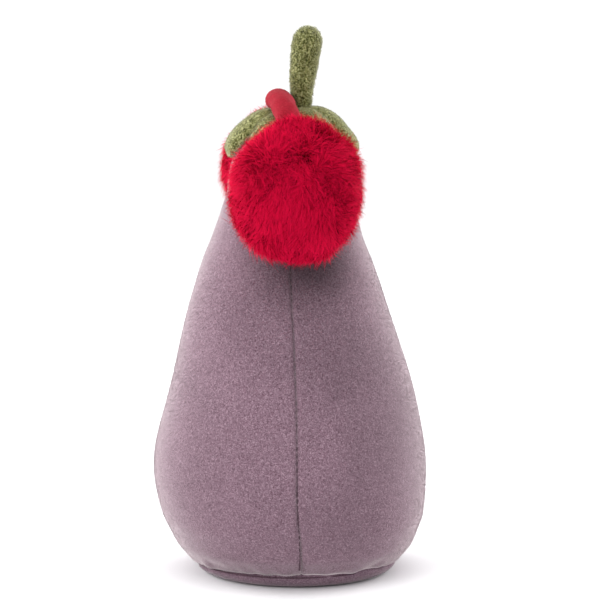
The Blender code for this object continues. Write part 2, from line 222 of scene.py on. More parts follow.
def ranged(nt, value, low, high, to_low, to_high):
    n = nt.nodes.new("ShaderNodeMapRange")
    n.interpolation_type = "SMOOTHSTEP"
    for key, v in (("From Min", low), ("From Max", high), ("To Min", to_low), ("To Max", to_high)):
        n.inputs[key].default_value = v
    nt.links.new(value, n.inputs["Value"])
    return n.outputs["Result"]


def mixed(nt, fac, a, b, how="MIX"):
    n = nt.nodes.new("ShaderNodeMix")
    n.data_type = "RGBA"
    n.blend_type = how
    for key, v in ((0, fac), (6, a), (7, b)):
        if isinstance(v, bpy.types.NodeSocket):
            nt.links.new(v, n.inputs[key])
        else:
            n.inputs[key].default_value = v if key == 0 else (*v, 1)
    return n.outputs[2]


def maths(nt, op, a, b):
    n = nt.nodes.new("ShaderNodeMath")
    n.operation = op
    for k, v in ((0, a), (1, b)):
        if isinstance(v, bpy.types.NodeSocket):
            nt.links.new(v, n.inputs[k])
        else:
            n.inputs[k].default_value = v
    return n.outputs[0]


def plush(name, dark, mid, light, grain=2400.0, sheen=0.6, sheen_rough=0.45, tint=(1, 0.95, 0.96), bump=0.3, painted_shade_and_light=(), rough=0.95, spread=0.22, slow_amount=0.06, blotch=38.0):
    """Velvety pile: fine grain, slow changes of nap, a pale sheen at grazing angles, and any patches of painted shade
    and painted light.
    """
    m, nt, bsdf = new_material(name)
    coords = nt.nodes.new("ShaderNodeTexCoord").outputs["Object"]
    fine = noise(nt, coords, grain, 2.0, 0.5)
    coarse = noise(nt, coords, grain * 0.6, 2.0, 0.5)
    both = maths(nt, "ADD", maths(nt, "MULTIPLY", fine, 0.68), maths(nt, "MULTIPLY", coarse, 0.32))
    low = mixed(nt, ranged(nt, both, 0.5 - spread, 0.5, 0, 1), dark, mid)
    colour = mixed(nt, ranged(nt, both, 0.5, 0.5 + spread, 0, 1), low, light)
    slow = noise(nt, coords, blotch, 2.0, 0.5)
    shade = ranged(nt, slow, 0.3, 0.7, 1 - slow_amount, 1 + slow_amount)
    # painted shade and painted light: each patch multiplies the colour near a point by its amount, below 1 as painted
    # shade, above 1 as painted light
    for (x, y, z), reach, amount in painted_shade_and_light:
        d = nt.nodes.new("ShaderNodeVectorMath")
        d.operation = "DISTANCE"
        nt.links.new(coords, d.inputs[0])
        d.inputs[1].default_value = (x * MM, y * MM, z * MM)
        wob = maths(nt, "ADD", d.outputs["Value"], maths(nt, "MULTIPLY", slow, reach * MM * 0.5))
        shade = maths(nt, "MULTIPLY", shade, ranged(nt, wob, reach * MM * 0.3, reach * MM * 1.45, amount, 1.0))
    grey = nt.nodes.new("ShaderNodeCombineColor")
    for k in range(3):
        nt.links.new(shade, grey.inputs[k])
    colour = mixed(nt, 1.0, colour, grey.outputs[0], "MULTIPLY")
    nt.links.new(colour, bsdf.inputs["Base Color"])
    b = nt.nodes.new("ShaderNodeBump")
    b.inputs["Strength"].default_value = bump
    b.inputs["Distance"].default_value = 0.0003
    nt.links.new(both, b.inputs["Height"])
    nt.links.new(b.outputs["Normal"], bsdf.inputs["Normal"])
    r = ranged(nt, fine, 0.3, 0.7, rough - 0.06, min(rough + 0.05, 1.0))
    nt.links.new(r, bsdf.inputs["Roughness"])
    bsdf.inputs["Specular IOR Level"].default_value = 0.1
    bsdf.inputs["Sheen Weight"].default_value = sheen
    bsdf.inputs["Sheen Roughness"].default_value = sheen_rough
    bsdf.inputs["Sheen Tint"].default_value = (*tint, 1)
    return m


def fur_material(name, root, mid, tip):
    """Long pile: darker at the root as painted shade deep in the fur, paler at the tip, each lock a little different.
    """
    m, nt, bsdf = new_material(name)
    uv = nt.nodes.new("ShaderNodeUVMap")
    uv.uv_map = "OFBake"
    split = nt.nodes.new("ShaderNodeSeparateXYZ")
    nt.links.new(uv.outputs["UV"], split.inputs[0])
    # the ramp from root to tip paints the shade deep in the fur into the colour
    ramp = nt.nodes.new("ShaderNodeValToRGB")
    ramp.color_ramp.interpolation = "B_SPLINE"
    e = ramp.color_ramp.elements
    e[0].position, e[0].color = 0.1, (*root, 1)
    e[1].position, e[1].color = 1.0, (*tip, 1)
    mid_stop = ramp.color_ramp.elements.new(0.62)
    mid_stop.color = (*mid, 1)
    nt.links.new(split.outputs[1], ramp.inputs[0])
    n = nt.nodes.new("ShaderNodeTexNoise")
    n.noise_dimensions = "1D"
    n.inputs["Scale"].default_value = 160.0
    n.inputs["Detail"].default_value = 1.0
    nt.links.new(split.outputs[0], n.inputs["W"])
    shade = ranged(nt, n.outputs["Fac"], 0.3, 0.7, 0.8, 1.16)
    grey = nt.nodes.new("ShaderNodeCombineColor")
    for k in range(3):
        nt.links.new(shade, grey.inputs[k])
    colour = mixed(nt, 1.0, ramp.outputs["Color"], grey.outputs[0], "MULTIPLY")
    nt.links.new(colour, bsdf.inputs["Base Color"])
    bsdf.inputs["Roughness"].default_value = 0.7
    bsdf.inputs["Specular IOR Level"].default_value = 0.025
    return m


def woven(name, a, b, scale=900.0, rough=0.9):
    m, nt, bsdf = new_material(name)
    coords = nt.nodes.new("ShaderNodeTexCoord").outputs["Object"]
    f = noise(nt, coords, scale, 3.0, 0.6)
    nt.links.new(mixed(nt, ranged(nt, f, 0.35, 0.65, 0, 1), a, b), bsdf.inputs["Base Color"])
    bump = nt.nodes.new("ShaderNodeBump")
    bump.inputs["Strength"].default_value = 0.5
    bump.inputs["Distance"].default_value = 0.0003
    nt.links.new(f, bump.inputs["Height"])
    nt.links.new(bump.outputs["Normal"], bsdf.inputs["Normal"])
    bsdf.inputs["Roughness"].default_value = rough
    return m


# painted shade under the near fur ball and down the right side of the body, and one patch of painted light on the left
# side
PAINTED_SHADE_AND_LIGHT = [((17, -34, 78), 24, 0.84), ((28, -26, 52), 24, 0.88), ((4, -24, 101), 21, 0.27), ((14, -38, 22), 20, 0.86), ((-20, -34, 66), 18, 1.05)]
SOFT = dict(grain=2700.0, spread=0.15)
purple = plush("purple_plush", (0.115, 0.060, 0.083), (0.208, 0.128, 0.165), (0.32, 0.218, 0.264), painted_shade_and_light=PAINTED_SHADE_AND_LIGHT, sheen=0.95, sheen_rough=0.42, tint=(1, 0.90, 0.92), **SOFT)
purple_pile = plush("purple_pile", (0.13, 0.072, 0.096), (0.218, 0.136, 0.173), (0.335, 0.232, 0.278), bump=0.0, painted_shade_and_light=PAINTED_SHADE_AND_LIGHT, sheen=0.95, sheen_rough=0.42, tint=(1, 0.90, 0.92), **SOFT)
# painted shade: the base panel's plush is the body's purple made a little darker, for the shade on the underside
shaded_base_purple = plush("base_plush", (0.115, 0.062, 0.088), (0.195, 0.122, 0.158), (0.29, 0.20, 0.245), sheen=0.4, **SOFT)
shaded_base_pile = plush("base_pile", (0.12, 0.066, 0.094), (0.21, 0.134, 0.172), (0.31, 0.215, 0.262), bump=0.0, sheen=0.4, **SOFT)
green = plush("green_plush", (0.035, 0.042, 0.008), (0.20, 0.205, 0.070), (0.47, 0.47, 0.23), grain=1700.0, tint=(1, 1, 0.72), sheen=0.9, sheen_rough=0.4, spread=0.12)
green_pile = plush("green_pile", (0.05, 0.058, 0.012), (0.24, 0.245, 0.088), (0.54, 0.54, 0.28), grain=1700.0, tint=(1, 1, 0.72), sheen=0.9, sheen_rough=0.4, bump=0.0, spread=0.12)
pale = plush("pale_green_plush", (0.25, 0.25, 0.12), (0.38, 0.38, 0.21), (0.54, 0.54, 0.35), grain=1800.0, tint=(1, 1, 0.8), sheen=0.8)
velour = plush("red_velour", (0.21, 0.004, 0.012), (0.29, 0.007, 0.020), (0.39, 0.016, 0.034), tint=(1, 0.6, 0.6), sheen=0.10, sheen_rough=0.4, bump=0.2, **SOFT)
fur = fur_material("red_fur", (0.31, 0.0005, 0.010), (0.57, 0.0010, 0.028), (0.80, 0.006, 0.060))
backing = woven("fur_backing", (0.12, 0.0006, 0.004), (0.20, 0.001, 0.009))
fibre = woven("fibre_filling", (0.72, 0.72, 0.70), (0.88, 0.88, 0.86), 400.0, 1.0)
cloth = woven("pouch_cloth", (0.62, 0.60, 0.56), (0.80, 0.78, 0.74), 1600.0)
pellet = woven("pellets", (0.62, 0.62, 0.62), (0.85, 0.85, 0.85), 500.0, 0.5)
thread = woven("thread", (0.045, 0.018, 0.03), (0.09, 0.045, 0.065), 2500.0)


# ------------------------------------------------------------------ body
def crown_line(count=60):
    a = np.linspace(0, math.pi / 2, count + 1)
    s, c = np.sin(a), np.maximum(np.cos(a), 0)
    return np.stack([CROWN_R * s ** (2 / CROWN_POWER), CROWN_Z + CROWN_H * c ** (2 / CROWN_POWER)], -1)


def resample(line, count):
    line = np.asarray(line, float)
    d = np.concatenate([[0], np.cumsum(np.linalg.norm(np.diff(line, axis=0), axis=1))])
    at = np.linspace(0, d[-1], count)
    return np.stack([np.interp(at, d, line[:, k]) for k in range(line.shape[1])], -1)


def body_profile(count):
    z = np.linspace(112.0, 3.2, 230)
    side = np.stack([table(BODY_OUTLINE, z), z], -1)
    crown = crown_line()[1:]
    neck_z = np.linspace(CROWN_Z - 0.4, 112.4, 14)
    t = (neck_z - 112.0) / (CROWN_Z - 112.0)
    r1, r0 = CROWN_R, 20.8
    neck = np.stack([r0 + (r1 - r0) * smooth_step(t) - (1 - t) * t * 1.6, neck_z], -1)
    return resample(np.concatenate([[[0.0, CROWN_Z + CROWN_H]], crown, neck, side]), count)


dimple = Waves(3, 42.0)
ripple = Waves(4, 15.0)
seam_wave = Waves(5, 24.0)
pucker = Waves(6, 7.5)


def body_panel(name, facing, rows=150, cols=121):
    prof = body_profile(rows)
    r, z = prof[:, 0][:, None], prof[:, 1][:, None]
    phi = np.linspace(-math.pi / 2, math.pi / 2, cols)[None, :]
    # closer rows of points near the seams
    phi = phi + 0.18 * np.sin(2 * phi) * 0.5
    phi = phi / np.abs(phi).max() * math.pi / 2
    lean = table(BODY_LEAN, z)
    ones = np.ones_like(phi)
    x0, y0 = facing * r * np.cos(phi), r * np.sin(phi)
    P0 = np.stack([x0 + 0 * z, y0 + 0 * z, z * ones], -1)
    swell = 0.14 * dimple(P0)
    swell = swell * smooth_step(r / 12.0)
    off = r * (math.pi / 2 - np.abs(phi))  # distance from the seam, along the cloth
    stitch = 1 + 0.3 * np.sin(z / 1.9 * math.tau + np.sign(phi) * 1.2)
    groove = -0.80 * stitch * np.exp(-((off / 0.52) ** 1.5)) * smooth_step(r / 5.0)
    shoulder = 0.10 * np.exp(-(((off - 2.0) / 1.2) ** 2)) * smooth_step(r / 12.0)
    # the lower edge turns under into the base seam, with small puckers
    down = z - 3.0
    edge = -0.75 * np.exp(-((down / 0.9) ** 1.4)) * (1 + 0.25 * pucker(P0))
    edge = edge + 0.22 * pucker(P0) * np.exp(-((down / 3.4) ** 2))
    rr = np.maximum(r + swell + groove + shoulder + edge, 0.0)
    shift = 0.07 * seam_wave(np.stack([0 * P0[..., 0], np.sign(y0) * 50 + 0 * z, z * ones], -1)) * np.exp(-((off / 7.0) ** 2))
    X = lean + shift + facing * (rr * np.cos(phi))
    Y = rr * np.sin(phi)
    Z = z * ones + (0.18 * pucker(P0 * [1, 1, 0]) + 1.3 * np.sin(phi) ** 2) * np.exp(-((down / 5.0) ** 2))
    V = np.stack([X, Y, Z], -1)
    # hems: each side edge turns inwards beside its neighbour, and the lower edge turns under
    def hem(edge_line, inwards):
        return [edge_line + inwards * k for k in (0.5, 1.0)]

    left, right = V[:, 0], V[:, -1]
    to_axis = lambda line: np.stack([0 * line[:, 0] + facing * 0.12, -np.sign(line[:, 1]) * np.minimum(np.abs(line[:, 1]), 1.3), 0 * line[:, 2]], -1)
    V = np.concatenate([[h for h in hem(left, to_axis(left))][::-1], np.moveaxis(V, 1, 0), hem(right, to_axis(right))], 0)
    V = np.moveaxis(V, 0, 1)
    low = V[-1]
    inward = unit(np.stack([table(BODY_LEAN, low[:, 2]) - low[:, 0], -low[:, 1], 0.25 * np.abs(low[:, 1]) + 4], -1))
    V = np.concatenate([V, [low + inward * 0.9, low + inward * 1.8]], 0)
    R, C = V.shape[:2]
    faces = [grid_faces(R, C, flip=facing < 0)]
    flat = V.reshape(-1, 3)
    u, v = np.meshgrid(np.linspace(0.01, 0.99, C), np.linspace(0.99, 0.01, R))
    uv = np.stack([u, v], -1).reshape(-1, 2)
    N = vertex_normals(flat, faces)
    out = flat - np.stack([table(BODY_LEAN, flat[:, 2]), 0 * flat[:, 1], flat[:, 2] * 0 + 60], -1)
    if (N * out).sum() < 0:
        faces = [f[:, ::-1] for f in faces]
        N = -N
    ob = mesh_piece(name, flat, faces, uv)
    wall = ob.modifiers.new("wall", "SOLIDIFY")
    wall.thickness = 0.8 * MM
    wall.offset = -1
    ob.data.materials.append(purple)
    # the pile grows from the outside only
    inside = grid_faces(R, C)[:, 0]
    keep = (np.arange(R * C) % C >= 2) & (np.arange(R * C) % C < C - 3) & (np.arange(R * C) // C < R - 3)
    chosen = [f[keep[f[:, 0]]] for f in faces]
    return ob, (flat, chosen, N, uv)


nap_waves = [Waves(11, 38.0), Waves(12, 38.0)]


def body_nap(P):
    """The pile lies downwards, and hands have brushed it a little to either side."""
    a = 0.55 * nap_waves[0](P)
    round_ = unit(np.stack([-P[:, 1], P[:, 0], 0 * P[:, 2]], -1))
    return np.array([0, 0, -1.0]) + round_ * a[:, None]


for label, facing, node_name in (("front", -1, "body_front_panel"), ("back", 1, "body_back_panel")):
    ob, source = body_panel(f"body_{label}", facing)
    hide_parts(node_name)
    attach(ob, "root")
    fuzz = pile(f"body_{label}_pile", source, 195000, 0.62, 0.15, body_nap, 0.88, 20 + facing, purple_pile, wild=0.3, soft=0.86)


def base_piece():
    rows = [
        (30.0, 4.1), (30.6, 3.55), (31.15, 3.05), (31.35, 2.6), (31.15, 2.1), (30.7, 1.55), (30.05, 1.0), (29.3, 0.6), (28.4, 0.25), (27.3, 0.05), (26.0, 0.0), (20.0, 0.0), (12.0, 0.0), (5.0, 0.0), (0.6, 0.0),
    ]
    prof = resample(rows, 46)
    cols = 180
    th = np.linspace(0, math.tau, cols, endpoint=False)[None, :]
    r, z = prof[:, 0][:, None], prof[:, 1][:, None]
    P0 = np.stack([r * np.cos(th), r * np.sin(th), z + 0 * th], -1)
    up = smooth_step((z - 0.6) / 2.4)
    rr = r + up * 0.2 * pucker(P0)
    lean = table(BODY_LEAN, z)
    V = np.stack([lean + rr * np.cos(th), rr * np.sin(th), z * (1 + 0.38 * np.sin(th) ** 2) + up * 0.15 * pucker(P0 * [1, 1, 0])], -1)
    flat = V.reshape(-1, 3)
    faces = [grid_faces(len(prof), cols, wrap=True, flip=True)]
    centre = len(flat)
    flat = np.concatenate([flat, [[float(table(BODY_LEAN, [0.0])[0]), 0.0, 0.0]]])
    last = (len(prof) - 1) * cols
    j = np.arange(cols)
    faces.append(np.stack([last + j, last + (j + 1) % cols, np.full(cols, centre)], -1)[:, ::-1])
    N = vertex_normals(flat, faces)
    if N[centre][2] > 0:
        faces = [f[:, ::-1] for f in faces]
        N = -N
    uv = np.stack([0.5 + flat[:, 0] / 90, 0.5 + flat[:, 1] / 90], -1)
    ring = np.concatenate([np.repeat(np.linspace(1, 0.0, len(prof)), cols), [0]])
    ang = np.concatenate([np.tile(th[0], len(prof)), [0]])
    uv = np.stack([0.5 + 0.49 * ring * np.cos(ang), 0.5 + 0.49 * ring * np.sin(ang)], -1)
    ob = mesh_piece("base", flat, faces, uv)
    wall = ob.modifiers.new("wall", "SOLIDIFY")
    wall.thickness = 0.8 * MM
    wall.offset = -1
    ob.data.materials.append(shaded_base_purple)
    side = [f[(flat[f[:, 0]][:, 2] > 0.75) & (flat[f[:, 0]][:, 2] < 3.8)] for f in faces]
    return ob, (flat, [f for f in side if len(f)], N, uv)


base, base_source = base_piece()
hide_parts("base_panel")
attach(base, "root")
base_fuzz = pile("base_pile", base_source, 20000, 0.42, 0.15, (0, 0, -1), 0.85, 31, shaded_base_pile, wild=0.4, soft=0.86)


# ------------------------------------------------------------------ stem
def stem_piece():
    z = np.linspace(140.6, 165.0, 54)
    r = table(STEM_SIZE, z)
    cap = np.linspace(0, math.pi / 2, 22)[1:]
    top_z, top_r = 165.0, float(table(STEM_SIZE, [165.0])[0])
    prof = np.concatenate([np.stack([r, z], -1), np.stack([top_r * np.cos(cap), top_z + (169.9 - top_z) * np.sin(cap)], -1)])
    prof[-1, 0] = 0.0
    cols = 72
    th = np.linspace(0, math.tau, cols, endpoint=False)[None, :]
    r, z = prof[:, 0][:, None], prof[:, 1][:, None]
    P0 = np.stack([r * np.cos(th), r * np.sin(th), z + 0 * th], -1)
    off = r * np.abs(np.abs(((th + math.pi) % math.tau) - math.pi) - math.pi / 2)
    lumpy = Waves(41, 9.0)(P0) * 0.07
    groove = -0.22 * np.exp(-((off / 0.4) ** 1.5)) * smooth_step(r / 2.5) * (1 + 0.3 * np.sin(z * 3.3))
    rr = np.maximum(r + lumpy * smooth_step(r / 3) + groove, 0)
    # the round is a little narrower along y
    V = np.stack([table(STEM_LEAN, z) + rr * np.cos(th) * 1.0, rr * np.sin(th) * 0.98, z + 0 * th], -1)
    flat = V.reshape(-1, 3)
    faces = [grid_faces(len(prof) - 1, cols, wrap=True)]
    tip = (len(prof) - 1) * cols
    j = np.arange(cols)
    flat = np.concatenate([flat[:tip], [flat[tip]]])
    last = tip - cols
    faces.append(np.stack([last + j, last + (j + 1) % cols, np.full(cols, tip)], -1))
    foot = len(flat)
    flat = np.concatenate([flat, [[float(table(STEM_LEAN, [140.6])[0]), 0, 140.6]]])
    faces.append(np.stack([(j + 1) % cols, j, np.full(cols, foot)], -1))
    N = vertex_normals(flat, faces)
    if N[tip][2] < 0:
        faces = [f[:, ::-1] for f in faces]
        N = -N
    uv = np.concatenate([np.stack([np.tile((th[0] / math.tau) * 0.98 + 0.01, len(prof) - 1), np.repeat(np.linspace(0.01, 0.97, len(prof) - 1), cols)], -1), [[0.5, 0.99], [0.5, 0.005]]])
    ob = mesh_piece("stem", flat, faces, uv)
    ob.data.materials.append(green)
    return ob, (flat, faces[:2], N, uv)


stem, stem_source = stem_piece()
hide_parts("stem_front_panel", "stem_back_panel")
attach(stem, "root")
clump = Waves(51, 1.3, 24)
stem_fuzz = pile("stem_pile", stem_source, 30000, 0.75, 0.14, (0.2, 0, -1), 0.65, 52, green_pile, wild=0.6, soft=0.6, tufts=lambda P: 1 + 0.35 * clump(P))


# ------------------------------------------------------------------ leaves
# Line along the top of a leaf: (distance from the middle, height); and the same where the headband presses it down.
LEAF_LINE = [(2.6, 144.8), (5.5, 145.1), (8.5, 145.1), (11.5, 144.0), (14.5, 141.9), (17.3, 139.0), (19.6, 135.9), (21.0, 132.9), (21.4, 130.0)]
LEAF_LINE_PRESSED = [(2.6, 143.4), (6.0, 143.2), (9.0, 142.9), (12.0, 142.0), (15.0, 140.4), (18.0, 137.7), (20.0, 135.0), (21.2, 132.5), (21.6, 129.8)]

# direction, half width, share pressed by the band, thickness, extra length
LEAVES = [
    ("leaf_back", 0, 7.0, 0.0, 4.6, 0.0),
    ("leaf_back_right", 60, 6.9, 0.0, 4.4, 0.0),
    ("leaf_front_right", 120, 6.9, 0.55, 4.4, 0.0),
    ("leaf_front", 180, 7.1, 0.15, 4.6, 0.0),
    ("leaf_front_left", 240, 6.9, 0.55, 4.4, 0.0),
    ("leaf_back_left", 300, 6.9, 0.0, 4.4, 0.0),
]


def leaf_piece(name, degrees, half, pressed, thick, longer, seed):
    wave = Waves(seed, 12.0)
    rows, cols = 50, 35
    # the line's own turning is followed from root to tip
    fine_a = resample(np.stack([table([(k, r) for k, (r, _) in enumerate(LEAF_LINE)], np.linspace(0, 8, 300)), table([(k, z) for k, (_, z) in enumerate(LEAF_LINE)], np.linspace(0, 8, 300))], -1), 300)
    fine_b = resample(np.stack([table([(k, r) for k, (r, _) in enumerate(LEAF_LINE_PRESSED)], np.linspace(0, 8, 300)), table([(k, z) for k, (_, z) in enumerate(LEAF_LINE_PRESSED)], np.linspace(0, 8, 300))], -1), 300)
    line = resample(fine_a * (1 - pressed) + fine_b * pressed, 300)
    tangent = unit(np.gradient(line, axis=0))
    outward = np.stack([-tangent[:, 1], tangent[:, 0]], -1)
    u = np.linspace(0, 1, rows)[:, None]
    v = np.sin(np.linspace(-1, 1, cols) * math.pi / 2)[None, :]
    uu = 1 - (1 - u) ** 1.5
    at = (uu * 299)[:, 0]
    r_line = np.interp(at, np.arange(300), line[:, 0])[:, None]
    z_line = np.interp(at, np.arange(300), line[:, 1])[:, None]
    n_r = np.interp(at, np.arange(300), outward[:, 0])[:, None]
    n_z = np.interp(at, np.arange(300), outward[:, 1])[:, None]
    w = np.minimum(0.50 * r_line + 0.4, half)
    end = np.clip((uu - 0.55) / 0.45, 0, 1)
    w = w * np.maximum(1 - end ** 2.4, 0.0) ** 0.5
    side = np.maximum(1 - np.abs(v) ** 2.3, 0) ** 0.5
    along = np.maximum(1 - np.clip((uu - 0.78) / 0.22, 0, 1) ** 2.2, 0) ** 0.5
    closed = side * along
    wob = 0.14 * wave(np.stack([r_line + 0 * v, v * 8 + 0 * u, z_line + 0 * v], -1))
    rib = -0.3 * np.exp(-((v * w / 0.7) ** 2)) * closed
    # the rim lies a third of the way up the pillow, over the crown
    level = -0.62 * thick
    layers = []
    for sign in (1, -1):
        out = level + wob + (closed * (0.62 * thick) + rib if sign > 0 else -closed * 0.38 * thick)
        r = r_line + n_r * out
        z = z_line + n_z * out
        # never inside the crown
        reach = ((np.abs(r) / CROWN_R) ** CROWN_POWER + (np.maximum(z - CROWN_Z, 0) / CROWN_H) ** CROWN_POWER) ** (1 / CROWN_POWER)
        clear = 1.02 if sign < 0 else 1.035
        push = np.maximum(clear / np.maximum(reach, 0.3), 1.0)
        r = r * push
        z = np.where(z > CROWN_Z, CROWN_Z + (z - CROWN_Z) * push, z)
        a = math.radians(degrees) + v * w / np.maximum(r_line - 0.4 * thick * n_r, 1.0)
        layers.append(np.stack([table(BODY_LEAN, z) + r * np.cos(a), r * np.sin(a), z], -1))
    top, under = layers
    count = rows * cols
    flat = np.concatenate([top.reshape(-1, 3), under.reshape(-1, 3)])
    f_top = grid_faces(rows, cols)
    f_under = grid_faces(rows, cols, flip=True, start=count)
    # rim faces
    ring = np.concatenate([np.arange(cols - 1), np.arange(cols - 1, count - 1, cols), (rows - 1) * cols + np.arange(cols - 1, 0, -1), np.arange((rows - 1) * cols, 0, -cols)])
    nxt = np.roll(ring, -1)
    f_rim = np.stack([nxt, ring, ring + count, nxt + count], -1)
    faces = [f_top, f_under, f_rim]
    N = vertex_normals(flat, faces)
    mid = (rows // 2) * cols + cols // 2
    if N[mid] @ (flat[mid] - np.array([0, 0, 120.0])) < 0:
        faces = [f[:, ::-1] for f in faces]
        N = -N
    uu2, vv2 = np.meshgrid(np.linspace(0.02, 0.48, cols), np.linspace(0.02, 0.98, rows))
    uv_top = np.stack([uu2, vv2], -1).reshape(-1, 2)
    uv = np.concatenate([uv_top, uv_top + [0.5, 0]])
    ob = mesh_piece(name, flat, faces, uv)
    ob.data.materials.append(green)
    ob.data.materials.append(pale)
    index = np.concatenate([np.zeros(len(f_top), int), np.ones(len(f_under) + len(f_rim), int)])
    ob.data.polygons.foreach_set("material_index", index.astype(np.int32))
    weld = ob.modifiers.new("close", "WELD")
    weld.merge_threshold = 0.00003
    dirn = np.array([math.cos(math.radians(degrees)), math.sin(math.radians(degrees)), -0.8])
    top_source = (flat, [faces[0]], N, uv)
    rim_source = (flat, [faces[1], faces[2]], N, uv)
    return ob, top_source, rim_source, dirn


pale_pile = plush("pale_green_pile", (0.25, 0.25, 0.12), (0.40, 0.40, 0.22), (0.56, 0.56, 0.37), grain=1800.0, tint=(1, 1, 0.8), sheen=0.8, bump=0.0)
for k, row in enumerate(LEAVES):
    ob, top_source, rim_source, dirn = leaf_piece(*row, seed=60 + k)
    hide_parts(row[0] + "_upper", row[0] + "_under")
    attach(ob, "root")
    f1 = pile(row[0] + "_pile", top_source, 14000, 0.6, 0.14, dirn, 0.75, 70 + k, green_pile, wild=0.55, soft=0.62, tufts=lambda P: 1 + 0.3 * clump(P))
    f2 = pile(row[0] + "_lining_pile", rim_source, 6000, 0.65, 0.15, dirn, 0.6, 90 + k, pale_pile, wild=0.5, soft=0.7)


# ------------------------------------------------------------------ headband
def band_piece():
    rows = 150
    a = math.pi * np.linspace(-0.44, 0.44, rows)
    s, c = np.sin(a), np.cos(a)
    y = BAND_REACH * np.sign(s) * np.abs(s) ** (2 / CROWN_POWER)
    z = CROWN_Z + (BAND_TOP - CROWN_Z) * c ** (2 / CROWN_POWER)
    x = BAND_X_TOP + (BAND_X_SIDE - BAND_X_TOP) * np.minimum(1, np.abs(y) / BAND_REACH) ** 1.6
    line = resample(np.stack([x, y, z], -1), rows)
    t = unit(np.gradient(line, axis=0))
    across = unit(np.array([1.0, 0, 0]) - t * t[:, :1])
    up = np.cross(across, t)
    up = up * np.sign((up * (line - [0, 0, 118])).sum(-1, keepdims=True))
    cols = 56
    th = np.linspace(0, math.tau, cols, endpoint=False)
    wave = Waves(81, 9.0)
    at = np.linspace(-1, 1, rows)
    squeeze = 1 - 0.10 * smooth_step((np.abs(at) - 0.7) / 0.3)
    w = (3.8 * squeeze)[:, None]
    h = (3.3 * squeeze)[:, None]
    ca, sa = np.cos(th)[None, :], np.sin(th)[None, :]
    # the long seam lies underneath
    seam = 1 - 0.10 * np.exp(-(((th - 1.5 * math.pi) / 0.16) ** 2))[None, :]
    P = line[:, None, :] + across[:, None, :] * (w * ca * seam)[..., None] + up[:, None, :] * (h * sa * seam)[..., None]
    P = P + (up[:, None, :] * sa[..., None] + across[:, None, :] * ca[..., None]) * (0.14 * wave(P))[..., None]
    flat = P.reshape(-1, 3)
    faces = [grid_faces(rows, cols, wrap=True)]
    j = np.arange(cols)
    n = len(flat)
    flat = np.concatenate([flat, [line[0], line[-1]]])
    last = (rows - 1) * cols
    faces.append(np.stack([(j + 1) % cols, j, np.full(cols, n)], -1))
    faces.append(np.stack([last + j, last + (j + 1) % cols, np.full(cols, n + 1)], -1))
    N = vertex_normals(flat, faces)
    mid = (rows // 2) * cols + cols // 4
    if N[mid][2] < 0:
        faces = [f[:, ::-1] for f in faces]
        N = -N
    uv = np.stack([np.tile(np.linspace(0.01, 0.99, cols), rows), np.repeat(np.linspace(0.01, 0.99, rows), cols)], -1)
    uv = np.concatenate([uv, [[0.5, 0.002], [0.5, 0.998]]])
    ob = mesh_piece("headband", flat, faces, uv)
    ob.data.materials.append(velour)
    return ob, (flat, faces[:1], N, uv)


headband, band_source = band_piece()
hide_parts("headband_cover")
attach(headband, "root")
velour_pile = plush("red_velour_pile", (0.22, 0.004, 0.013), (0.305, 0.008, 0.021), (0.41, 0.018, 0.037), tint=(1, 0.6, 0.6), sheen=0.10, sheen_rough=0.4, bump=0.0, **SOFT)
band_fuzz = pile("headband_pile", band_source, 34000, 0.42, 0.13, (0.3, 1, 0), 0.8, 82, velour_pile, wild=0.6, soft=0.8)


